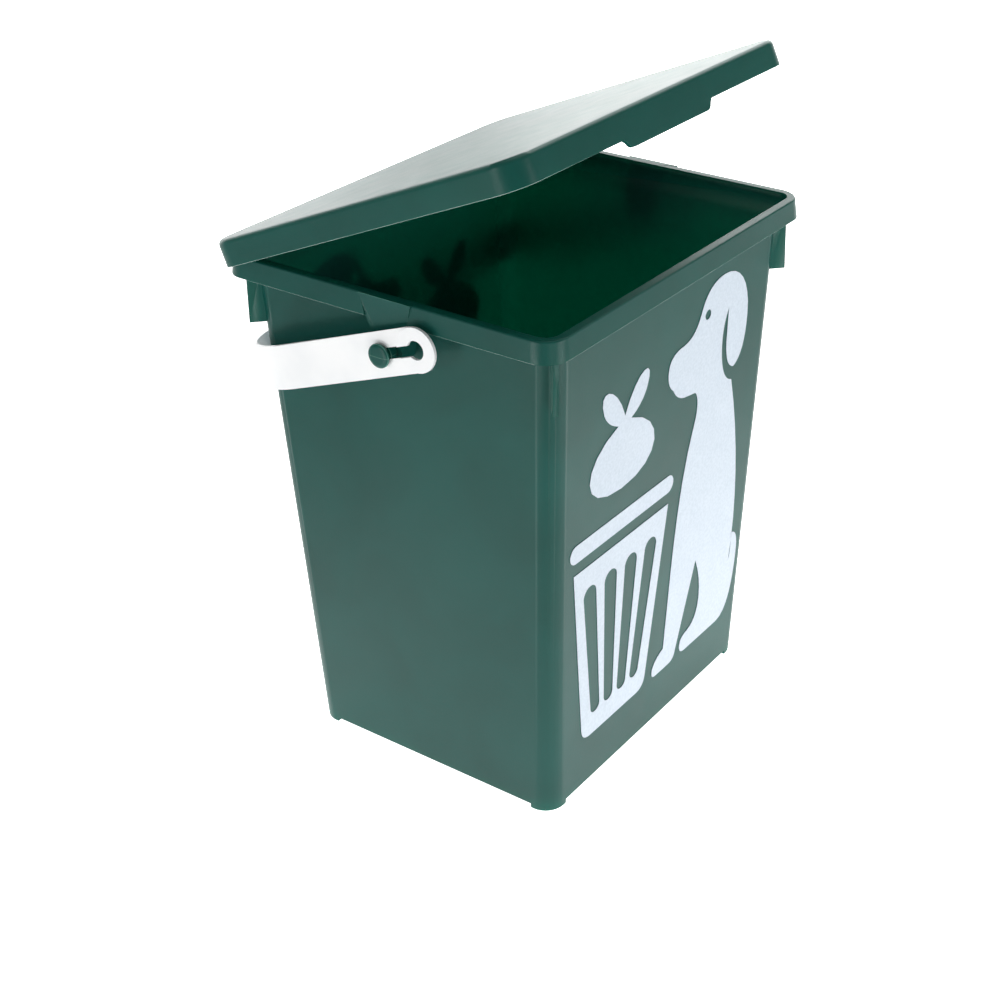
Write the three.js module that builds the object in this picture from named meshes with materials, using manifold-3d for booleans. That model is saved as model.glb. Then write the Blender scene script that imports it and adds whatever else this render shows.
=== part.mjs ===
// Dog waste bin: a tapered polypropylene bucket with a hinged tray lid, a white strap handle that
// turns and slides on two studs, and a white pictogram printed on its front and rear walls.
// Millimetres, +Z up, front (printed face with the lid's lifting tab) towards -Y, floor at z = 0.

import * as THREE from "three";
import { mergeVertices } from "three/addons/utils/BufferGeometryUtils.js";
import Module from "manifold-3d";

const wasm = await Module();
wasm.setup();

// Driving dimensions of the bucket
const RIM_TOP = 300;
const RIM_HALF = { x: 125, y: 108.5 };
const RIM_CORNER = 14;
const RIM_EDGE_ROUND = 1;
const RIM_WIDTH = 6;
const FLARE_BOTTOM = 284;
const FLARE_TOP = 296;
const COLLAR_DRAFT = 1;
const COLLAR_HEIGHT = 12;
const COLLAR_WALL = 2;
const FOOT_HEIGHT = 3;
const FOOT_SIZE = 15;
const BODY_BOTTOM_HALF = { x: 99.9, y: 84.4 };
const BODY_TOP_HALF = { x: 112.3, y: 100.3 };
const BODY_CORNER = 12;
const WALL = 2;
const CORNER_STEPS = 8;
const CLEARANCE = 0.3;

// Corner fins, and the bosses that carry the handle studs
const FIN_THICKNESS = 3;
const FIN_DEPTH = 42;
const FIN_REACH = 7;
const BOSS_HALF_TOP = 17;
const BOSS_HALF_BOTTOM = 8;
const BOSS_BOTTOM = 262;
const BOSS_LEAN = 0.08;
const BOSS_WALL = 2.4;

// Lid and its hinge, measured with the lid shut
const LID_OVERHANG = 2.3;
const LID_TOP = 2.2;
const LID_SKIRT_WALL = 1.6;
const LID_HEIGHT = 15.2;
const LID_EDGE_ROUND = 3;
const LID_OPEN_ANGLE = THREE.MathUtils.degToRad(23.15);
const TAB = { halfTop: 42, halfBottom: 38, drop: 5.2, round: 3.2, thickness: 2.2 };
const HINGE = { y: 115, z: 290 };
const HINGE_SPACING = 60;
const PIN_RADIUS = 2.2;
const CLIP_RADIUS = 4;
const CLIP_WIDTH = 20;
const CLIP_WEB = 5;
const CLIP_MOUTH = 3.6;
const LUG_RADIUS = 4.2;
const LUG_WIDTH = 3.5;
const LUG_GAP = 1.5;
const LUG_NOTCH_ROOM = 2;

// Strap handle and the studs it turns on
const PIVOT = { y: -5, z: 271 };
const STRAP_TILT = THREE.MathUtils.degToRad(20.2);
const STRAP_WIDTH = 24.5;
const STRAP_THICKNESS = 1.8;
const STRAP_HALF_SPAN = 128.9;
const STRAP_STRAIGHT = 70;
const STRAP_BEND_RADIUS = 50;
const STRAP_BEND_ANGLE = THREE.MathUtils.degToRad(72);
const KEYHOLE_LENGTH = 24.6;
const KEYHOLE_RADIUS = 5.2;
const KEYHOLE_SLOT = 6;
const STUD_SHANK = 2.7;
const STUD_SHOULDER = 5.6;
const STUD_HEAD = 6.6;
const STUD_HEAD_HEIGHT = 2.4;
const STUD_SNAP = 3.9;
const STUD_SNAP_LENGTH = 1.6;
const STUD_BORE_LENGTH = 10;
const COLLAR_GAP_REACH = 5;

// The strap reaches this much further behind the rim's centre than the rim does in front of it,
// and the origin is the middle of everything.
const REAR_REACH = 16;

// Printed ink
const INK_THICKNESS = 0.25;
const INK_GAP = 0.06;

const greenPlastic = { color: 0x1f4a3c, roughness: 0.42, metalness: 0 };
const whitePlastic = { color: 0xf4f6f6, roughness: 0.4, metalness: 0 };
const whiteInk = { color: 0xdfe6ee, roughness: 0.5, metalness: 0 };

// ---------- solids and meshes ----------

// A closed geometry as a solid that can be joined and cut.
function solid(geometry) {
  const bare = geometry.clone();
  bare.deleteAttribute("normal");
  bare.deleteAttribute("uv");
  const merged = mergeVertices(bare, 1e-4);
  return new wasm.Manifold(
    new wasm.Mesh({
      numProp: 3,
      vertProperties: merged.attributes.position.array,
      triVerts: new Uint32Array(merged.index.array),
    }),
  );
}

function joined(solids) {
  return solids.reduce((whole, piece) => whole.add(piece));
}

function mesh(name, shape, look) {
  const data = shape.getMesh();
  const geometry = new THREE.BufferGeometry();
  geometry.setAttribute("position", new THREE.BufferAttribute(data.vertProperties, 3));
  geometry.setIndex(new THREE.BufferAttribute(data.triVerts, 1));
  const made = new THREE.Mesh(geometry, new THREE.MeshStandardMaterial(look));
  made.name = name;
  return made;
}

// ---------- basic shapes ----------

function roundedRectangle(halfX, halfY, radius) {
  const shape = new THREE.Shape();
  const [x, y] = [halfX - radius, halfY - radius];
  shape.absarc(x, y, radius, 0, Math.PI / 2);
  shape.absarc(-x, y, radius, Math.PI / 2, Math.PI);
  shape.absarc(-x, -y, radius, Math.PI, 1.5 * Math.PI);
  shape.absarc(x, -y, radius, 1.5 * Math.PI, 2 * Math.PI);
  shape.closePath();
  return shape;
}

function extruded(shape, depth) {
  return new THREE.ExtrudeGeometry(shape, {
    depth,
    bevelEnabled: false,
    curveSegments: CORNER_STEPS,
  });
}

// Moves every point of a geometry in towards the Z axis, by what inset(z) gives for its height.
function movedIn(geometry, inset) {
  const position = geometry.attributes.position;
  for (let i = 0; i < position.count; i++) {
    const by = inset(position.getZ(i));
    position.setX(i, position.getX(i) - Math.sign(position.getX(i)) * by.x);
    position.setY(i, position.getY(i) - Math.sign(position.getY(i)) * by.y);
  }
  return geometry;
}

// An upright box with rounded corners.
function block(half, radius, low, high, inset = noInset) {
  const geometry = extruded(roundedRectangle(half.x, half.y, radius), high - low);
  return solid(movedIn(geometry.translate(0, 0, low), inset));
}

function noInset() {
  return { x: 0, y: 0 };
}

// A block with its upper edge rounded all round.
function blockWithRoundTop(half, radius, low, high, round, inset = noInset) {
  const outline = roundedRectangle(half.x - round, half.y - round, radius - round);
  const height = high - low;
  const geometry = new THREE.ExtrudeGeometry(outline, {
    depth: height,
    bevelThickness: round,
    bevelSize: round,
    bevelSegments: 3,
    curveSegments: CORNER_STEPS,
  }).translate(0, 0, low - round);
  const below = box(4 * half.x, 4 * half.y, height, 0, 0, low - height / 2);
  return solid(movedIn(geometry, inset)).subtract(below);
}

// A block whose sides run straight from its upper half sizes down to smaller lower ones.
function narrowingBlock(upper, lower, radius, low, high) {
  return block(upper, radius, low, high, (z) => ({
    x: z > (low + high) / 2 ? 0 : upper.x - lower.x,
    y: z > (low + high) / 2 ? 0 : upper.y - lower.y,
  }));
}

function box(sizeX, sizeY, sizeZ, x, y, z) {
  return solid(new THREE.BoxGeometry(sizeX, sizeY, sizeZ).translate(x, y, z));
}

// A round bar along X.
function barAlongX(radius, length, x, y, z) {
  const steps = 32;
  const geometry = new THREE.CylinderGeometry(radius, radius, length, steps);
  return solid(geometry.rotateZ(Math.PI / 2).translate(x, y, z));
}

// A flat outline drawn in the YZ plane, made thick along X and centred on x.
function plateAcrossX(outline, thickness, x) {
  const geometry = extruded(outline, thickness).translate(0, 0, -thickness / 2);
  return solid(geometry.rotateX(Math.PI / 2).rotateZ(Math.PI / 2).translate(x, 0, 0));
}

// ---------- bucket ----------

// Half width or half depth of the tapered body, so far outside (+) or inside (-) its outer face.
function bodyHalf(z, offset = 0) {
  const share = (z - FOOT_HEIGHT) / (RIM_TOP - COLLAR_HEIGHT - FOOT_HEIGHT);
  return {
    x: THREE.MathUtils.lerp(BODY_BOTTOM_HALF.x, BODY_TOP_HALF.x, share) + offset,
    y: THREE.MathUtils.lerp(BODY_BOTTOM_HALF.y, BODY_TOP_HALF.y, share) + offset,
  };
}

// A block that follows the body's taper.
function taperedBlock(low, high, offset) {
  const radius = BODY_CORNER + offset;
  return narrowingBlock(bodyHalf(high, offset), bodyHalf(low, offset), radius, low, high);
}

// The rim: a flat flange turned down into a collar, open below. The collar leans in upwards.
function rim() {
  const low = RIM_TOP - COLLAR_HEIGHT;
  const inside = { x: RIM_HALF.x - COLLAR_WALL, y: RIM_HALF.y - COLLAR_WALL };
  const outer = blockWithRoundTop(RIM_HALF, RIM_CORNER, low, RIM_TOP, RIM_EDGE_ROUND, collarInset);
  const radius = RIM_CORNER - COLLAR_WALL;
  const hollow = block(inside, radius, low - 1, RIM_TOP - COLLAR_WALL, collarInset);
  return outer.subtract(hollow);
}

// How far the collar has leant in at a height.
function collarInset(z) {
  const lean = (COLLAR_DRAFT * (z - RIM_TOP + COLLAR_HEIGHT)) / COLLAR_HEIGHT;
  return { x: lean, y: lean };
}

// The top of the body flares out to the rim. Its surface lies so far outside (+) or inside (-)
// the wall's outer face, and runs on straight up from FLARE_TOP to high.
function flare(offset, high) {
  const low = FLARE_BOTTOM - offset;
  const edge = RIM_WIDTH - WALL - offset;
  const wide = { x: RIM_HALF.x - edge, y: RIM_HALF.y - edge };
  const radius = RIM_CORNER - edge;
  const slope = narrowingBlock(wide, bodyHalf(low, offset), radius, low, FLARE_TOP);
  return slope.add(block(wide, radius, FLARE_TOP, high));
}

function cornerFins() {
  const high = RIM_TOP - COLLAR_WALL / 2;
  const length = FIN_REACH + BODY_CORNER;
  const fins = [];
  for (const signX of [-1, 1]) {
    for (const signY of [-1, 1]) {
      const fin = new THREE.BoxGeometry(length, FIN_THICKNESS, FIN_DEPTH);
      fin.translate(length / 2, 0, high - FIN_DEPTH / 2);
      fin.rotateZ(Math.atan2(signY, signX));
      const centreX = BODY_TOP_HALF.x - BODY_CORNER;
      const centreY = BODY_TOP_HALF.y - BODY_CORNER;
      fins.push(solid(fin.translate(signX * centreX, signY * centreY, 0)));
    }
  }
  return joined(fins);
}

function feet() {
  const pad = taperedBlock(0, FOOT_HEIGHT + 1, 0);
  const corners = [];
  for (const signX of [-1, 1]) {
    for (const signY of [-1, 1]) {
      const x = signX * (BODY_BOTTOM_HALF.x - FOOT_SIZE / 2 + 1);
      const y = signY * (BODY_BOTTOM_HALF.y - FOOT_SIZE / 2 + 1);
      corners.push(box(FOOT_SIZE, FOOT_SIZE, 4 * FOOT_HEIGHT, x, y, 0));
    }
  }
  return joined(corners).intersect(pad);
}

// Boss outline seen from the side: narrower below, with a round lower end.
function bossOutline(inset) {
  const shape = new THREE.Shape();
  const top = RIM_TOP - (inset ? COLLAR_WALL : 0);
  const round = BOSS_HALF_BOTTOM - inset;
  shape.moveTo(PIVOT.y + BOSS_HALF_TOP - inset, top);
  shape.lineTo(PIVOT.y - BOSS_HALF_TOP + inset, top);
  shape.lineTo(PIVOT.y - round, BOSS_BOTTOM + round);
  if (inset) {
    shape.lineTo(PIVOT.y - round, BOSS_BOTTOM - 1);
    shape.lineTo(PIVOT.y + round, BOSS_BOTTOM - 1);
  } else {
    shape.absarc(PIVOT.y, BOSS_BOTTOM + round, round, Math.PI, 2 * Math.PI);
  }
  shape.lineTo(PIVOT.y + BOSS_HALF_TOP - inset, top);
  return shape;
}

// A prism of that outline on the +X side (side 1) or the -X side (side -1), whose outer face leans
// in downwards from the rim.
function bossPrism(side, inset, innerX, outerX) {
  const geometry = extruded(bossOutline(inset), outerX - innerX);
  geometry.rotateX(Math.PI / 2).rotateZ(Math.PI / 2).translate(innerX, 0, 0);
  const position = geometry.attributes.position;
  for (let i = 0; i < position.count; i++) {
    if (position.getX(i) < (innerX + outerX) / 2) continue;
    position.setX(i, position.getX(i) - (RIM_TOP - position.getZ(i)) * BOSS_LEAN);
  }
  geometry.translate(0, -PIVOT.y, 0).rotateZ(side > 0 ? 0 : Math.PI).translate(0, PIVOT.y, 0);
  return solid(geometry);
}

// A hollow boss with the bore for its stud.
function boss(side) {
  const innerX = BODY_BOTTOM_HALF.x;
  const hollow = bossPrism(side, BOSS_WALL, innerX, RIM_HALF.x - BOSS_WALL);
  const boreX = side * studBoreDistance();
  const bore = barAlongX(STUD_SHANK + CLEARANCE, STUD_BORE_LENGTH, boreX, PIVOT.y, PIVOT.z);
  return bossPrism(side, 0, innerX, RIM_HALF.x).subtract(hollow).subtract(bore);
}

// The gap in the collar that a boss stands in.
function collarGap(side) {
  return bossPrism(side, 0, RIM_HALF.x - 2 * COLLAR_WALL, RIM_HALF.x + COLLAR_GAP_REACH);
}

function studBoreDistance() {
  return RIM_HALF.x - (RIM_TOP - PIVOT.z) * BOSS_LEAN;
}

// Distance from the middle of a hinge to each of its lugs.
function lugOffset() {
  return CLIP_WIDTH / 2 + LUG_GAP + LUG_WIDTH / 2;
}

// Lugs and pin of one lid hinge, behind the collar.
function hingeStand(x) {
  const neck = new THREE.Shape();
  const root = RIM_HALF.y - COLLAR_WALL / 2;
  neck.moveTo(root, HINGE.z - LUG_RADIUS);
  neck.absarc(HINGE.y, HINGE.z, LUG_RADIUS, -Math.PI / 2, Math.PI / 2);
  neck.lineTo(root, HINGE.z + LUG_RADIUS);
  neck.closePath();
  const offset = lugOffset();
  return joined([
    plateAcrossX(neck, LUG_WIDTH, x - offset),
    plateAcrossX(neck, LUG_WIDTH, x + offset),
    barAlongX(PIN_RADIUS, 2 * offset, x, HINGE.y, HINGE.z),
  ]);
}

function bucket() {
  const sides = [1, -1];
  const shell = taperedBlock(FOOT_HEIGHT, RIM_TOP, 0);
  const notchedRim = rim().subtract(joined(sides.map(collarGap)));
  const hinges = [-HINGE_SPACING, HINGE_SPACING].map(hingeStand);
  const top = flare(0, RIM_TOP - COLLAR_WALL / 2);
  const bosses = sides.map(boss);
  const outside = joined([notchedRim, shell, top, cornerFins(), feet(), ...hinges, ...bosses]);
  const inside = taperedBlock(FOOT_HEIGHT + WALL, RIM_TOP - COLLAR_WALL, -WALL);
  return outside.subtract(inside.add(flare(-WALL, RIM_TOP + 1)));
}

// ---------- lid, drawn shut ----------

function lidClip(x) {
  const ring = barAlongX(CLIP_RADIUS, CLIP_WIDTH, x, HINGE.y, HINGE.z);
  const bore = barAlongX(PIN_RADIUS + CLEARANCE, CLIP_WIDTH + 2, x, HINGE.y, HINGE.z);
  const rearFace = RIM_HALF.y + LID_OVERHANG;
  const webRoot = rearFace - LID_SKIRT_WALL;
  const web = box(CLIP_WIDTH, HINGE.y - webRoot, CLIP_WEB, x, (HINGE.y + webRoot) / 2, HINGE.z);
  const mouth = box(CLIP_WIDTH + 2, CLIP_MOUTH, 2 * CLIP_RADIUS, x, HINGE.y, HINGE.z - CLIP_RADIUS);
  return ring.add(web).subtract(bore).subtract(mouth);
}

function lidTab() {
  const shape = new THREE.Shape();
  const low = RIM_TOP + LID_TOP + CLEARANCE - LID_HEIGHT;
  const round = TAB.round;
  shape.moveTo(-TAB.halfTop, low + TAB.thickness);
  shape.lineTo(-TAB.halfTop, low);
  shape.lineTo(-TAB.halfBottom - round / 2, low - TAB.drop + round);
  shape.quadraticCurveTo(-TAB.halfBottom, low - TAB.drop, -TAB.halfBottom + round, low - TAB.drop);
  shape.lineTo(TAB.halfBottom - round, low - TAB.drop);
  shape.quadraticCurveTo(TAB.halfBottom, low - TAB.drop, TAB.halfBottom + round / 2, low - TAB.drop + round);
  shape.lineTo(TAB.halfTop, low);
  shape.lineTo(TAB.halfTop, low + TAB.thickness);
  shape.closePath();
  const geometry = extruded(shape, TAB.thickness).rotateX(Math.PI / 2);
  const frontFace = -RIM_HALF.y - LID_OVERHANG;
  return solid(geometry.translate(0, frontFace + TAB.thickness, 0));
}

function lid() {
  const top = RIM_TOP + CLEARANCE + LID_TOP;
  const low = top - LID_HEIGHT;
  const outside = { x: RIM_HALF.x + LID_OVERHANG, y: RIM_HALF.y + LID_OVERHANG };
  const inside = { x: outside.x - LID_SKIRT_WALL, y: outside.y - LID_SKIRT_WALL };
  const radius = RIM_CORNER + LID_OVERHANG;
  const outer = blockWithRoundTop(outside, radius, low, top, LID_EDGE_ROUND);
  const hollow = block(inside, radius - LID_SKIRT_WALL, low - 1, top - LID_TOP);
  let whole = outer.subtract(hollow).add(lidTab());
  for (const x of [-HINGE_SPACING, HINGE_SPACING]) {
    for (const side of [-lugOffset(), lugOffset()]) {
      const notchHigh = top - LID_TOP;
      const notchLow = low - 1;
      const notch = box(LUG_WIDTH + LUG_NOTCH_ROOM, 4 * LID_SKIRT_WALL, notchHigh - notchLow,
        x + side, outside.y, (notchHigh + notchLow) / 2);
      whole = whole.subtract(notch);
    }
    whole = whole.add(lidClip(x));
  }
  return whole;
}

// ---------- handle ----------

// Seen along its width, the strap is two straight arms, two bends and a shallow bow behind the
// bucket. x runs across the bucket, and y outwards from the studs.
function strapOutline() {
  const half = STRAP_THICKNESS / 2;
  const cos = Math.cos(STRAP_BEND_ANGLE);
  const sin = Math.sin(STRAP_BEND_ANGLE);
  const bowRadius = (STRAP_HALF_SPAN - STRAP_BEND_RADIUS * (1 - cos)) / cos;
  const bowCentre = STRAP_STRAIGHT + STRAP_BEND_RADIUS * sin - bowRadius * sin;
  const bendX = STRAP_HALF_SPAN - STRAP_BEND_RADIUS;
  const turn = Math.PI - STRAP_BEND_ANGLE;
  const shape = new THREE.Shape();
  shape.moveTo(-STRAP_HALF_SPAN - half, -KEYHOLE_LENGTH);
  shape.absarc(-bendX, STRAP_STRAIGHT, STRAP_BEND_RADIUS + half, Math.PI, turn, true);
  shape.absarc(0, bowCentre, bowRadius + half, turn, STRAP_BEND_ANGLE, true);
  shape.absarc(bendX, STRAP_STRAIGHT, STRAP_BEND_RADIUS + half, STRAP_BEND_ANGLE, 0, true);
  shape.lineTo(STRAP_HALF_SPAN + half, -KEYHOLE_LENGTH);
  shape.lineTo(STRAP_HALF_SPAN - half, -KEYHOLE_LENGTH);
  shape.absarc(bendX, STRAP_STRAIGHT, STRAP_BEND_RADIUS - half, 0, STRAP_BEND_ANGLE);
  shape.absarc(0, bowCentre, bowRadius - half, STRAP_BEND_ANGLE, turn);
  shape.absarc(-bendX, STRAP_STRAIGHT, STRAP_BEND_RADIUS - half, turn, Math.PI);
  shape.lineTo(-STRAP_HALF_SPAN + half, -KEYHOLE_LENGTH);
  shape.closePath();
  return shape;
}

// A keyhole with a round hole at each end of a narrower slot, cut through both arms.
function keyholes() {
  const across = 3 * STRAP_HALF_SPAN;
  return joined([
    barAlongX(KEYHOLE_RADIUS, across, 0, 0, 0),
    barAlongX(KEYHOLE_RADIUS, across, 0, -KEYHOLE_LENGTH, 0),
    box(across, KEYHOLE_LENGTH, KEYHOLE_SLOT, 0, -KEYHOLE_LENGTH / 2, 0),
  ]);
}

function strap() {
  const ribbon = solid(extruded(strapOutline(), STRAP_WIDTH).translate(0, 0, -STRAP_WIDTH / 2));
  const ends = [-STRAP_HALF_SPAN, STRAP_HALF_SPAN].map((x) =>
    barAlongX(STRAP_WIDTH / 2, STRAP_THICKNESS, x, -KEYHOLE_LENGTH, 0),
  );
  return joined([ribbon, ...ends]).subtract(keyholes());
}

// A mushroom stud, turned about its own axis: a snap ring behind the boss, a shoulder that holds
// the strap off the boss, a shank through the strap, and a flat domed head.
function stud() {
  const face = studBoreDistance();
  const inner = STRAP_HALF_SPAN - STRAP_THICKNESS / 2 - CLEARANCE;
  const outer = STRAP_HALF_SPAN + STRAP_THICKNESS / 2 + CLEARANCE;
  const behind = face - BOSS_WALL - BOSS_LEAN * STUD_SNAP - CLEARANCE;
  const profile = [
    [0, behind - STUD_SNAP_LENGTH],
    [STUD_SNAP - 0.6, behind - STUD_SNAP_LENGTH],
    [STUD_SNAP, behind - 1],
    [STUD_SNAP, behind],
    [STUD_SHANK, behind],
    [STUD_SHANK, face + CLEARANCE + BOSS_LEAN * STUD_SHOULDER],
    [STUD_SHOULDER, face + CLEARANCE + BOSS_LEAN * STUD_SHOULDER],
    [STUD_SHOULDER, inner],
    [STUD_SHANK, inner],
    [STUD_SHANK, outer],
    [STUD_HEAD, outer],
    [STUD_HEAD, outer + STUD_HEAD_HEIGHT / 2],
    [STUD_HEAD - 1, outer + STUD_HEAD_HEIGHT * 0.85],
    [STUD_HEAD - 3, outer + STUD_HEAD_HEIGHT],
    [0, outer + STUD_HEAD_HEIGHT],
  ].map(([radius, x]) => new THREE.Vector2(radius, x));
  return solid(new THREE.LatheGeometry(profile, 32).rotateZ(-Math.PI / 2));
}

// ---------- printed pictogram: a sitting dog, a tied bag and a litter bin ----------

// Each outline is drawn on the face as seen from the front: x to the right, y up from the floor.
function dogOutline() {
  const shape = new THREE.Shape();
  shape.moveTo(2, 222);
  shape.quadraticCurveTo(-6, 228, -4, 238);
  shape.quadraticCurveTo(-2, 246, 10, 246);
  shape.bezierCurveTo(20, 247, 24, 252, 28, 262);
  shape.quadraticCurveTo(34, 275, 50, 275);
  shape.bezierCurveTo(66, 275, 79, 262, 79, 240);
  shape.quadraticCurveTo(79, 215, 67, 211);
  shape.quadraticCurveTo(58, 214, 57, 230);
  shape.lineTo(57, 252);
  shape.quadraticCurveTo(50, 240, 53, 222);
  shape.quadraticCurveTo(56, 206, 66, 203);
  shape.bezierCurveTo(80, 160, 86, 110, 80, 72);
  shape.quadraticCurveTo(83, 80, 81, 92);
  shape.quadraticCurveTo(90, 92, 89, 74);
  shape.bezierCurveTo(88, 56, 84, 34, 70, 34);
  shape.lineTo(34, 34);
  shape.quadraticCurveTo(28, 34, 28, 40);
  shape.quadraticCurveTo(28, 46, 36, 47);
  shape.bezierCurveTo(50, 50, 50, 74, 40, 94);
  shape.lineTo(23, 40);
  shape.quadraticCurveTo(22, 34, 16, 34);
  shape.lineTo(2, 34);
  shape.quadraticCurveTo(-3, 34, -2, 40);
  shape.quadraticCurveTo(0, 46, 9, 49);
  shape.bezierCurveTo(12, 90, 12, 150, 27, 190);
  shape.quadraticCurveTo(32, 204, 26, 211);
  shape.lineTo(14, 213);
  shape.quadraticCurveTo(6, 215, 2, 222);
  const eye = new THREE.Path();
  eye.absarc(34, 256, 3, 0, 2 * Math.PI);
  shape.holes.push(eye);
  return shape;
}

function bagOutline() {
  const shape = new THREE.Shape();
  shape.moveTo(-46, 228);
  shape.bezierCurveTo(-56, 252, -74, 254, -66, 236);
  shape.quadraticCurveTo(-62, 228, -52, 224);
  shape.bezierCurveTo(-86, 214, -86, 184, -46, 184);
  shape.bezierCurveTo(-6, 184, -6, 214, -40, 224);
  shape.quadraticCurveTo(-30, 228, -26, 236);
  shape.bezierCurveTo(-18, 254, -36, 252, -46, 228);
  return shape;
}

// The litter bin: a tapered body with upright slots, and a separate rim bar above it.
const BIN = { centre: -42, top: 150, bottom: 34, halfTop: 46, halfBottom: 31, slots: 4 };

function binOutline() {
  const { centre, top, bottom, halfTop, halfBottom, slots } = BIN;
  const round = 8;
  const shape = new THREE.Shape();
  shape.moveTo(centre - halfTop, top);
  shape.lineTo(centre - halfBottom - 1, bottom + round);
  shape.quadraticCurveTo(centre - halfBottom, bottom, centre - halfBottom + round, bottom);
  shape.lineTo(centre + halfBottom - round, bottom);
  shape.quadraticCurveTo(centre + halfBottom, bottom, centre + halfBottom + 1, bottom + round);
  shape.lineTo(centre + halfTop, top);
  shape.closePath();
  for (let i = 0; i < slots; i++) {
    const share = (i + 0.5) / slots - 0.5;
    shape.holes.push(slotPath(centre, share, 2 * halfTop * 0.86, 2 * halfBottom * 0.84));
  }
  return shape;
}

// One slot of the bin, narrower towards the bottom, where the bin is narrower too.
function slotPath(centre, share, spanTop, spanBottom) {
  const [high, low, halfHigh, halfLow] = [BIN.top - 14, BIN.bottom + 14, 6, 4.4];
  const [xHigh, xLow] = [centre + share * spanTop, centre + share * spanBottom];
  const hole = new THREE.Path();
  hole.moveTo(xHigh + halfHigh, high - halfHigh);
  hole.absarc(xHigh, high - halfHigh, halfHigh, 0, Math.PI);
  hole.lineTo(xLow - halfLow, low + halfLow);
  hole.absarc(xLow, low + halfLow, halfLow, Math.PI, 2 * Math.PI);
  hole.closePath();
  return hole;
}

function binRimOutline() {
  const [halfLength, halfHeight, y] = [50, 5.5, 163];
  const shape = new THREE.Shape();
  shape.absarc(BIN.centre + halfLength - halfHeight, y, halfHeight, -Math.PI / 2, Math.PI / 2);
  shape.absarc(BIN.centre - halfLength + halfHeight, y, halfHeight, Math.PI / 2, 1.5 * Math.PI);
  shape.closePath();
  return shape;
}

// A thin slab of ink, laid on the leaning front wall; turned half round for the rear wall.
function print(name, outline, rear) {
  const rise = RIM_TOP - COLLAR_HEIGHT - FOOT_HEIGHT;
  const lean = Math.atan((BODY_TOP_HALF.y - BODY_BOTTOM_HALF.y) / rise);
  const slab = solid(extruded(outline, INK_THICKNESS).translate(0, 0, INK_GAP));
  const made = mesh(name, slab, whiteInk);
  made.rotation.x = Math.PI / 2 + lean;
  made.position.y = -bodyHalf(0).y;
  const side = new THREE.Group();
  side.rotation.z = rear ? Math.PI : 0;
  side.add(made);
  return side;
}

// ---------- assembly ----------

function lidAssembly() {
  const shut = mesh("lid", lid(), greenPlastic);
  shut.position.set(0, -HINGE.y, -HINGE.z);
  const hinge = new THREE.Group();
  hinge.position.set(0, HINGE.y, HINGE.z);
  hinge.rotation.x = -LID_OPEN_ANGLE;
  hinge.add(shut);
  return hinge;
}

function handleAssembly() {
  const group = new THREE.Group();
  group.position.set(0, PIVOT.y, PIVOT.z);
  group.rotation.x = -STRAP_TILT;
  group.add(mesh("handle_strap", strap(), whitePlastic));
  group.add(mesh("handle_stud_right", stud(), greenPlastic));
  const left = mesh("handle_stud_left", stud(), greenPlastic);
  left.rotation.y = Math.PI;
  group.add(left);
  return group;
}

const bin = new THREE.Group();
bin.position.y = -REAR_REACH / 2;
bin.add(mesh("bucket", bucket(), greenPlastic));
bin.add(lidAssembly());
bin.add(handleAssembly());
for (const rear of [false, true]) {
  const side = rear ? "rear" : "front";
  bin.add(print(`print_${side}_dog`, dogOutline(), rear));
  bin.add(print(`print_${side}_bag`, bagOutline(), rear));
  bin.add(print(`print_${side}_bin`, binOutline(), rear));
  bin.add(print(`print_${side}_bin_rim`, binRimOutline(), rear));
}

export default bin;
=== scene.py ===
"""Dog waste bin: a green polypropylene bucket with its tray lid part open, a white strap handle
down behind it, and a white printed pictogram on the front and rear walls."""

from math import cos, pi, radians, sin

import bmesh
import bpy
from mathutils import Matrix, Vector


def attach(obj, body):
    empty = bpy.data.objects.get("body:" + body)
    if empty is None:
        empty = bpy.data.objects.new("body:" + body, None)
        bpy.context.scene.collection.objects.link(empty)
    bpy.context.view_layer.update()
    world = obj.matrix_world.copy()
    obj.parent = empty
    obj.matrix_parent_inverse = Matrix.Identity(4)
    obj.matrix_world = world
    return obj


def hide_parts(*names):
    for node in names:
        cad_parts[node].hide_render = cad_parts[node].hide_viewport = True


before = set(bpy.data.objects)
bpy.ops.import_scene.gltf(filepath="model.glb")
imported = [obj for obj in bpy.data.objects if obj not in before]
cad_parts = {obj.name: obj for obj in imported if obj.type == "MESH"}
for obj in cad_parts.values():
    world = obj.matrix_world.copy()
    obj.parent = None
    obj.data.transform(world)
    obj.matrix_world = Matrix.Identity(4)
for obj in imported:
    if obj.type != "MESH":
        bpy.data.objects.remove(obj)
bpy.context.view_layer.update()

MM = 0.001

# Sizes of the marks in the finishes. The spark-eroded grain is drawn about twice as coarse as it
# is, so that it shows at all.
GRAIN = 0.9 * MM
GRAIN_STRENGTH = 0.45
STRAP_GRAIN = 1.2 * MM
INK_SPECKLE = 1.6 * MM
# Size of the brighter patches in the painted highlights along the edges.
EDGE_HIGHLIGHT_PATCH = 12 * MM
HANDLING_MARK = 14 * MM
STRAP_MOTTLE = 25 * MM
WALL_RIPPLE = 35 * MM
FLOW_MARK = 60 * MM
FLOOR_CLOUD = 400 * MM
PARTING_LINE = 0.7 * MM

# Heights and places on the mouldings, from the CAD.
STUD_HEIGHT = 0.271
RIM_TOP = 0.3
RIM_MIDDLE = -0.008
COLLAR_LOW = 0.288
BOSS_MIDDLE = -0.013

# Regions of edges: the collar's outside, the notches at the stud bosses, and the lid's hinge clips.
COLLAR_SIDE = 0.1245
COLLAR_END = 0.108
NOTCH_SIDE = 0.1235
NOTCH_HALF = 0.0185
NOTCH_LOW = 0.2875
CLIPS_FROM = 0.1

# The lid's hinge line, how far it is open, and its skirt's lower edge below that line.
LID_HINGE = (0.107, 0.29)
LID_OPEN = radians(23.15)
LID_LIP = -2.7 * MM

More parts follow.
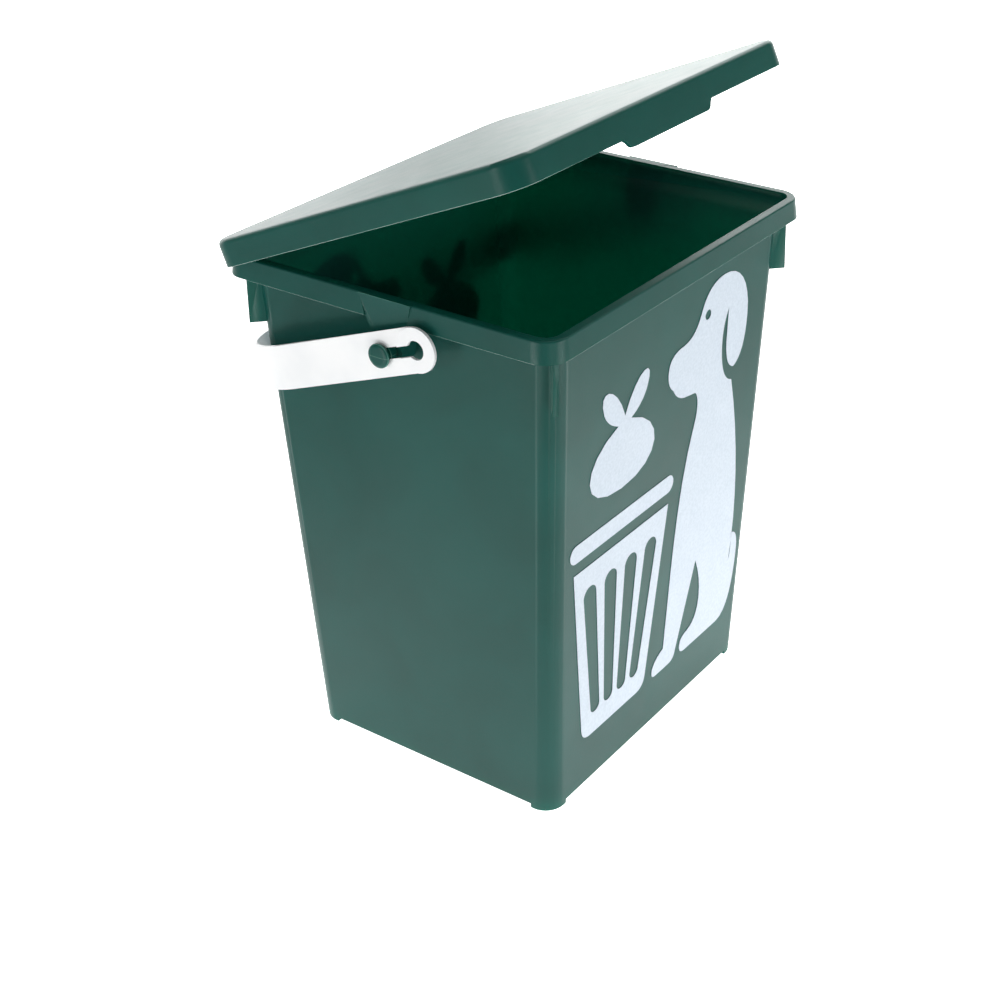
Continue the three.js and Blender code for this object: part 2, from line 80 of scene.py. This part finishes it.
# How close a point has to be to count as on a plane, and the angle that makes an edge sharp.
CLOSE = 0.1 * MM
MERGE_WITHIN = 0.12 * MM
SHARP = radians(35)

# Which of a moulding's finishes a face takes: its plain face, or the painted highlight of an edge or of
# a lip.
FACE, EDGE, LIP = range(3)

# Camera: where it stands, which way it looks, and its lens.
CAMERA_PLACE = (-0.7609, -0.5765, 0.6666)
CAMERA_AZIMUTH = radians(-56.05)
CAMERA_ELEVATION = radians(22.70)
CAMERA_ROLL = radians(-0.16)
CAMERA_LENS = 66.42
SENSOR_WIDTH = 36
NEAREST_SEEN = 0.01
CAMERA_SHIFT = (-0.109, -0.228)

# Colours of the finishes, as sRGB.
GREEN_DEEP = "#0B4E47"
GREEN_LIT = "#0F5851"
GREEN_THROUGH = "#05B598"
GREEN_FLASH = "#4C8C7C"
# The edge and lip colours are painted highlights: paler greens that stand for the fine bright lines the
# rounded edges catch from the bright floor. The second colour of each pair is brighter still, in
# patches.
GREEN_EDGE_HIGHLIGHT = "#4E8F80"
GREEN_EDGE_HIGHLIGHT_STRONG = "#74B0A2"
GREEN_LIP_HIGHLIGHT = "#A4CFC4"
GREEN_LIP_HIGHLIGHT_STRONG = "#D2E8E1"
WHITE_STRAP = "#FAFBFB"
WHITE_STRAP_SHADE = "#F3F5F6"
INK = "#C9D4DF"
INK_THIN = "#BFCBD6"
FLOOR_WHITE = "#F7F7F7"
FLOOR_SHADE = "#F4F4F4"

# How much light the green walls let through and throw back, and how strongly the floor glows.
WALL_TRANSLUCENCE = 0.25
SATIN_SHINE = 0.36
PLASTIC_IOR = 1.49
ROOM_LIGHT = 0.3
# The floor's glow is painted light: a pool around the middle and a sweep behind, not a lamp.
FLOOR_HALO = 1.45
HALO_MIDDLE = (0.06, -0.05, 0)
HALO_FULL_WITHIN = 0.12
HALO_GONE_BEYOND = 0.65
HALO_REST = 0.05
FLOOR_SWEEP = 1.5
SWEEP_DIRECTION = (0.83, 0.56, 0)
SWEEP_STARTS = 0.15
SWEEP_FULL = 1.0
FLOOR_HALF = 8


# ---------- camera, lights and floor ----------

def linear(colour):
    """An sRGB hex colour as the linear RGBA that the shaders take."""
    parts = [int(colour[i:i + 2], 16) / 255 for i in (1, 3, 5)]
    return (*[((c + 0.055) / 1.055) ** 2.4 if c > 0.04045 else c / 12.92 for c in parts], 1)


def place(data, name, matrix):
    made = bpy.data.objects.new(name, data)
    bpy.context.scene.collection.objects.link(made)
    made.matrix_world = matrix
    return made


def aimed(position, target):
    """A placing at position whose -Z axis points at target."""
    way = Vector(target) - Vector(position)
    return Matrix.Translation(position) @ way.to_track_quat("-Z", "Y").to_matrix().to_4x4()


def camera():
    data = bpy.data.cameras.new("camera")
    data.lens = CAMERA_LENS
    data.sensor_width = SENSOR_WIDTH
    data.shift_x, data.shift_y = CAMERA_SHIFT
    data.clip_start = NEAREST_SEEN
    turn = (
        Matrix.Rotation(CAMERA_AZIMUTH, 4, "Z")
        @ Matrix.Rotation(pi / 2 - CAMERA_ELEVATION, 4, "X")
        @ Matrix.Rotation(CAMERA_ROLL, 4, "Z")
    )
    made = place(data, "camera", Matrix.Translation(CAMERA_PLACE) @ turn)
    bpy.context.scene.camera = made
    bpy.context.scene.view_settings.view_transform = "Standard"


def softbox(name, position, target, size, power):
    """A rectangle of soft light that the camera doesn't see."""
    data = bpy.data.lights.new(name, "AREA")
    data.shape = "RECTANGLE"
    data.size, data.size_y = size
    data.energy = power
    made = place(data, name, aimed(position, target))
    made.visible_camera = False


def lights():
    softbox("overhead", (0.3, 0.1, 1.9), (0, 0, 0.1), (1.4, 1.4), 7)
    softbox("backdrop_glow", (2.8, 1.1, 0.85), (0, 0, 0.25), (2.4, 1.6), 46)
    softbox("side_fill", (-1.9, 0.3, 0.5), (0, 0, 0.05), (0.5, 0.5), 6)
    softbox("front_fill", (0.5, -2.1, 0.6), (0, 0, 0.1), (0.5, 0.5), 8)
    softbox("lid_glow", (2.2, 0.3, 2.0), (0, 0, 0.35), (1.4, 1.4), 22)
    softbox("rear_glow", (0.9, 2.9, 0.8), (0, 0, 0.3), (2.6, 1.4), 34)
    softbox("left_edge_glow", (-0.8, 0.06, 0.02), (-0.8, 0.06, 1), (0.3, 0.3), 3.5)
    softbox("front_edge_glow", (-0.05, -0.8, 0.02), (-0.05, -0.8, 1), (0.3, 0.3), 3.5)
    softbox("near_corner_glow", (-0.52, -0.72, 0.02), (-0.52, -0.72, 1), (0.2, 0.2), 1.2)
    world = bpy.data.worlds.new("studio")
    bpy.context.scene.world = world
    world.use_nodes = True
    sky = world.node_tree.nodes["Background"]
    sky.inputs["Color"].default_value = (1, 1, 1, 1)
    sky.inputs["Strength"].default_value = ROOM_LIGHT


def floor():
    bm = bmesh.new()
    bmesh.ops.create_grid(bm, x_segments=1, y_segments=1, size=FLOOR_HALF)
    data = bpy.data.meshes.new("floor")
    bm.to_mesh(data)
    bm.free()
    made = place(data, "floor", Matrix.Identity(4))
    data.materials.append(lit_acrylic_floor())


# ---------- material nodes ----------

def add(tree, kind, settings=None, **inputs):
    """One node with its settings, and its inputs given as values or as other nodes' outputs."""
    node = tree.nodes.new(kind)
    for name, value in (settings or {}).items():
        setattr(node, name, value)
    for key, value in inputs.items():
        socket = node.inputs[int(key[1:])] if key[0] == "_" else node.inputs[key.replace("_", " ")]
        if isinstance(value, bpy.types.NodeSocket):
            tree.links.new(value, socket)
        else:
            socket.default_value = value
    return node


def material(name):
    """An empty material, and its node tree."""
    made = bpy.data.materials.new(name)
    made.use_nodes = True
    made.node_tree.nodes.clear()
    return made, made.node_tree


def green_polypropylene(name, parting_height=None):
    """Injection-moulded polypropylene, dyed dark green: a satin skin with a fine spark-eroded grain
    and faint flow marks, thin enough for some green light to come through the walls. A small piece
    also has the fine raised line where the halves of its mould met, at parting_height."""
    made, tree = material(name)
    here = add(tree, "ShaderNodeTexCoord").outputs["Object"]
    flow = add(tree, "ShaderNodeTexNoise", Vector=here, Scale=1 / FLOW_MARK, Detail=3, Distortion=0.6)
    flow_share = add(tree, "ShaderNodeMapRange", Value=flow.outputs["Fac"], From_Min=0.3, From_Max=0.7)
    tint = add(tree, "ShaderNodeMix", {"data_type": "RGBA"}, _0=flow_share.outputs["Result"],
               _6=linear(GREEN_DEEP), _7=linear(GREEN_LIT)).outputs[2]
    handling = add(tree, "ShaderNodeTexNoise", Vector=here, Scale=1 / HANDLING_MARK, Detail=4)
    sheen = add(tree, "ShaderNodeMapRange", Value=handling.outputs["Fac"], From_Min=0.3, From_Max=0.7,
                To_Min=0.33, To_Max=0.37)
    ripple = add(tree, "ShaderNodeTexNoise", Vector=here, Scale=1 / WALL_RIPPLE, Detail=1)
    wavy = add(tree, "ShaderNodeBump", Strength=0.02, Distance=0.6 * MM, Height=ripple.outputs["Fac"])
    grain = add(tree, "ShaderNodeTexNoise", Vector=here, Scale=1 / GRAIN, Detail=2, Roughness=0.6)
    bumpy = add(tree, "ShaderNodeBump", Strength=GRAIN_STRENGTH, Distance=0.12 * MM,
                Height=grain.outputs["Fac"], Normal=wavy.outputs["Normal"])
    if parting_height is not None:
        height = add(tree, "ShaderNodeSeparateXYZ", Vector=here)
        offset = add(tree, "ShaderNodeMath", {"operation": "SUBTRACT"},
                     _0=height.outputs["Z"], _1=parting_height)
        distance = add(tree, "ShaderNodeMath", {"operation": "ABSOLUTE"}, _0=offset.outputs["Value"])
        line = add(tree, "ShaderNodeMapRange", {"interpolation_type": "SMOOTHSTEP"},
                   Value=distance.outputs["Value"], From_Min=0, From_Max=PARTING_LINE / 2,
                   To_Min=1, To_Max=0)
        bumpy = add(tree, "ShaderNodeBump", Strength=1, Distance=0.25 * MM,
                    Height=line.outputs["Result"], Normal=bumpy.outputs["Normal"])
        tint = add(tree, "ShaderNodeMix", {"data_type": "RGBA"}, _0=line.outputs["Result"],
                   _6=tint, _7=linear(GREEN_FLASH)).outputs[2]
    skin = add(tree, "ShaderNodeBsdfPrincipled", Base_Color=tint, Roughness=sheen.outputs["Result"],
               IOR=PLASTIC_IOR, Specular_IOR_Level=SATIN_SHINE, Normal=bumpy.outputs["Normal"])
    through = add(tree, "ShaderNodeBsdfTranslucent", Color=linear(GREEN_THROUGH))
    both = add(tree, "ShaderNodeMixShader", Fac=WALL_TRANSLUCENCE, _1=skin.outputs["BSDF"],
               _2=through.outputs["BSDF"])
    add(tree, "ShaderNodeOutputMaterial", Surface=both.outputs["Shader"])
    return made


def green_edge_highlight(name, dim_highlight, strong_highlight):
    """The same polypropylene at a moulded edge, painted paler: a painted highlight that stands for the
    fine pale line of light the rounded edge catches. It is brighter still in patches, where the finish
    is also smoother, and it lets light through like the walls."""
    made, tree = material(name)
    here = add(tree, "ShaderNodeTexCoord").outputs["Object"]
    # Noise picks where the painted highlight is brighter and the edge smoother.
    highlight_patch = add(tree, "ShaderNodeTexNoise", Vector=here, Scale=1 / EDGE_HIGHLIGHT_PATCH, Detail=3)
    highlight_share = add(tree, "ShaderNodeMapRange", Value=highlight_patch.outputs["Fac"], From_Min=0.35, From_Max=0.7)
    tint = add(tree, "ShaderNodeMix", {"data_type": "RGBA"}, _0=highlight_share.outputs["Result"],
               _6=linear(dim_highlight), _7=linear(strong_highlight))
    sheen = add(tree, "ShaderNodeMapRange", Value=highlight_patch.outputs["Fac"], From_Min=0.3, From_Max=0.7,
                To_Min=0.26, To_Max=0.16)
    grain = add(tree, "ShaderNodeTexNoise", Vector=here, Scale=1 / GRAIN, Detail=2, Roughness=0.6)
    bumpy = add(tree, "ShaderNodeBump", Strength=0.1, Distance=0.1 * MM, Height=grain.outputs["Fac"])
    skin = add(tree, "ShaderNodeBsdfPrincipled", Base_Color=tint.outputs[2],
               Roughness=sheen.outputs["Result"], IOR=PLASTIC_IOR, Normal=bumpy.outputs["Normal"])
    through = add(tree, "ShaderNodeBsdfTranslucent", Color=linear(GREEN_THROUGH))
    both = add(tree, "ShaderNodeMixShader", Fac=WALL_TRANSLUCENCE, _1=skin.outputs["BSDF"],
               _2=through.outputs["BSDF"])
    add(tree, "ShaderNodeOutputMaterial", Surface=both.outputs["Shader"])
    return made


def white_polypropylene():
    """White moulded polypropylene strap: smooth satin with faint mottling."""
    made, tree = material("moulded_white_polypropylene")
    here = add(tree, "ShaderNodeTexCoord").outputs["Object"]
    mottle = add(tree, "ShaderNodeTexNoise", Vector=here, Scale=1 / STRAP_MOTTLE, Detail=3)
    share = add(tree, "ShaderNodeMapRange", Value=mottle.outputs["Fac"], From_Min=0.35, From_Max=0.65)
    tint = add(tree, "ShaderNodeMix", {"data_type": "RGBA"}, _0=share.outputs["Result"],
               _6=linear(WHITE_STRAP_SHADE), _7=linear(WHITE_STRAP))
    handling = add(tree, "ShaderNodeTexNoise", Vector=here, Scale=1 / HANDLING_MARK, Detail=3)
    sheen = add(tree, "ShaderNodeMapRange", Value=handling.outputs["Fac"], From_Min=0.3, From_Max=0.7,
                To_Min=0.3, To_Max=0.4)
    grain = add(tree, "ShaderNodeTexNoise", Vector=here, Scale=1 / STRAP_GRAIN, Detail=2)
    bumpy = add(tree, "ShaderNodeBump", Strength=0.12, Distance=0.1 * MM, Height=grain.outputs["Fac"])
    skin = add(tree, "ShaderNodeBsdfPrincipled", Base_Color=tint.outputs[2],
               Roughness=sheen.outputs["Result"], IOR=PLASTIC_IOR, Normal=bumpy.outputs["Normal"])
    add(tree, "ShaderNodeOutputMaterial", Surface=skin.outputs["BSDF"])
    return made


def white_ink():
    """Screen-printed ink, slightly thin in places, over the moulded grain of the wall."""
    made, tree = material("screen_printed_white_ink")
    here = add(tree, "ShaderNodeTexCoord").outputs["Object"]
    thin = add(tree, "ShaderNodeTexNoise", Vector=here, Scale=1 / INK_SPECKLE, Detail=3)
    share = add(tree, "ShaderNodeMapRange", Value=thin.outputs["Fac"], From_Min=0.35, From_Max=0.65)
    tint = add(tree, "ShaderNodeMix", {"data_type": "RGBA"}, _0=share.outputs["Result"],
               _6=linear(INK_THIN), _7=linear(INK))
    handling = add(tree, "ShaderNodeTexNoise", Vector=here, Scale=1 / HANDLING_MARK, Detail=3)
    sheen = add(tree, "ShaderNodeMapRange", Value=handling.outputs["Fac"], From_Min=0.3, From_Max=0.7,
                To_Min=0.42, To_Max=0.54)
    grain = add(tree, "ShaderNodeTexNoise", Vector=here, Scale=1 / GRAIN, Detail=2, Roughness=0.6)
    bumpy = add(tree, "ShaderNodeBump", Strength=0.2, Distance=0.1 * MM, Height=grain.outputs["Fac"])
    skin = add(tree, "ShaderNodeBsdfPrincipled", Base_Color=tint.outputs[2],
               Roughness=sheen.outputs["Result"], IOR=1.5, Normal=bumpy.outputs["Normal"])
    add(tree, "ShaderNodeOutputMaterial", Surface=skin.outputs["BSDF"])
    return made


def lit_acrylic_floor():
    """A pale acrylic studio floor that glows with no lamp under it: painted light, strongest in a pool
    around the middle and in a sweep beyond it, which also lights the bucket.
    """
    made, tree = material("self_glowing_acrylic_floor")
    here = add(tree, "ShaderNodeTexCoord").outputs["Object"]
    cloud = add(tree, "ShaderNodeTexNoise", Vector=here, Scale=1 / FLOOR_CLOUD, Detail=2)
    tint = add(tree, "ShaderNodeMix", {"data_type": "RGBA"}, _0=cloud.outputs["Fac"],
               _6=linear(FLOOR_SHADE), _7=linear(FLOOR_WHITE))
    from_middle = add(tree, "ShaderNodeVectorMath", {"operation": "SUBTRACT"},
                      _0=here, _1=HALO_MIDDLE)
    away = add(tree, "ShaderNodeVectorMath", {"operation": "LENGTH"}, _0=from_middle.outputs["Vector"])
    halo = add(tree, "ShaderNodeMapRange", {"interpolation_type": "SMOOTHSTEP"},
               Value=away.outputs["Value"], From_Min=HALO_FULL_WITHIN, From_Max=HALO_GONE_BEYOND,
               To_Min=FLOOR_HALO, To_Max=HALO_REST)
    behind = add(tree, "ShaderNodeVectorMath", {"operation": "DOT_PRODUCT"},
                 _0=here, _1=SWEEP_DIRECTION)
    sweep = add(tree, "ShaderNodeMapRange", {"interpolation_type": "SMOOTHSTEP"},
                Value=behind.outputs["Value"], From_Min=SWEEP_STARTS, From_Max=SWEEP_FULL,
                To_Min=0, To_Max=FLOOR_SWEEP)
    glow = add(tree, "ShaderNodeMath", {"operation": "ADD"},
               _0=halo.outputs["Result"], _1=sweep.outputs["Result"])
    skin = add(tree, "ShaderNodeBsdfPrincipled", Base_Color=tint.outputs[2], Roughness=0.6,
               Emission_Color=(1, 1, 1, 1), Emission_Strength=glow.outputs["Value"])
    add(tree, "ShaderNodeOutputMaterial", Surface=skin.outputs["BSDF"])
    return made


# ---------- pieces ----------

def round_edges(bm, width_mm, finish, within):
    """Rounds the sharp edges whose two ends both lie within the given region, and gives the rounding
    the material with that index."""
    picked = []
    for edge in bm.edges:
        if not edge.is_manifold or edge.calc_face_angle() < SHARP:
            continue
        if all(within(vertex.co) for vertex in edge.verts):
            picked.append(edge)
    made = bmesh.ops.bevel(bm, geom=picked, offset=width_mm * MM, offset_type="OFFSET", segments=3,
                           profile=0.5, affect="EDGES", clamp_overlap=True, material=-1)
    for face in made["faces"]:
        face.material_index = finish


def anywhere(point):
    return True


def on_collar_edge(point):
    """The collar's lower outer edge."""
    outside = abs(point.x) > COLLAR_SIDE or abs(point.y - RIM_MIDDLE) > COLLAR_END
    return outside and abs(point.z - COLLAR_LOW) < CLOSE


def on_rim_top(point):
    return abs(point.z - RIM_TOP) < CLOSE


def on_boss_notch(point):
    """The upright edges where the collar stops at a stud boss."""
    beside = abs(point.x) > NOTCH_SIDE and abs(point.y - BOSS_MIDDLE) < NOTCH_HALF
    return beside and point.z > NOTCH_LOW


def on_foot(point):
    return point.z < CLOSE


def on_lid_lip(point):
    """The skirt's lower edge, which lies in one plane below the hinge line of the open lid."""
    behind = point.y - LID_HINGE[0]
    above = point.z - LID_HINGE[1]
    along = behind * sin(LID_OPEN) + above * cos(LID_OPEN)
    return abs(along - LID_LIP) < CLOSE


def clear_of_clips(point):
    """Everywhere on the lid but its hinge clips."""
    return point.y < CLIPS_FROM


def moulded_copy(node, name, body, finishes, roundings):
    """A moulding in the shape of a CAD node, with its edges rounded, standing for the node.
    finishes are its materials, that of its faces first, and roundings are
    (width in millimetres, index of the finish, region) triples."""
    bm = bmesh.new()
    bm.from_mesh(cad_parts[node].data)
    bmesh.ops.remove_doubles(bm, verts=bm.verts[:], dist=MERGE_WITHIN)
    bmesh.ops.dissolve_degenerate(bm, dist=CLOSE, edges=bm.edges[:])
    bmesh.ops.dissolve_limit(bm, angle_limit=radians(1), verts=bm.verts[:], edges=bm.edges[:])
    for width_mm, finish, region in roundings:
        round_edges(bm, width_mm, finish, region)
    data = bpy.data.meshes.new(name)
    bm.to_mesh(data)
    bm.free()
    data.shade_smooth()
    data.set_sharp_from_angle(angle=SHARP)
    for look in finishes:
        data.materials.append(look)
    made = place(data, name, Matrix.Identity(4))
    shading = made.modifiers.new("flat_faces_stay_flat", "WEIGHTED_NORMAL")
    shading.keep_sharp = True
    shading.weight = 100
    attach(made, body)
    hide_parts(node)


def main():
    camera()
    lights()
    floor()
    green = green_polypropylene("moulded_green_polypropylene")
    # The edge and lip finishes are painted highlights along the rounded edges.
    edge = green_edge_highlight("moulded_green_polypropylene_edge_highlight", GREEN_EDGE_HIGHLIGHT, GREEN_EDGE_HIGHLIGHT_STRONG)
    lip = green_edge_highlight("moulded_green_polypropylene_lip_highlight", GREEN_LIP_HIGHLIGHT, GREEN_LIP_HIGHLIGHT_STRONG)
    stud_green = green_polypropylene("moulded_green_polypropylene_stud", STUD_HEIGHT)
    white = white_polypropylene()
    ink = white_ink()
    moulded_copy("bucket", "bucket_moulding", "bucket", (green, edge, lip),
                 [(0.5, LIP, on_collar_edge), (0.7, EDGE, on_rim_top), (0.4, EDGE, on_boss_notch),
                  (0.5, EDGE, on_foot)])
    moulded_copy("lid", "lid_moulding", "lid", (green, edge, lip),
                 [(0.4, LIP, on_lid_lip), (0.5, EDGE, clear_of_clips)])
    moulded_copy("handle_strap", "strap_moulding", "handle", (white,),
                 [(0.3, FACE, anywhere)])
    for side in ("left", "right"):
        moulded_copy("handle_stud_" + side, "stud_moulding_" + side, "handle_studs",
                     (stud_green, edge), [(0.25, EDGE, anywhere)])
    for name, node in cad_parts.items():
        if name.startswith("print_"):
            node.data.materials.clear()
            node.data.materials.append(ink)


main()
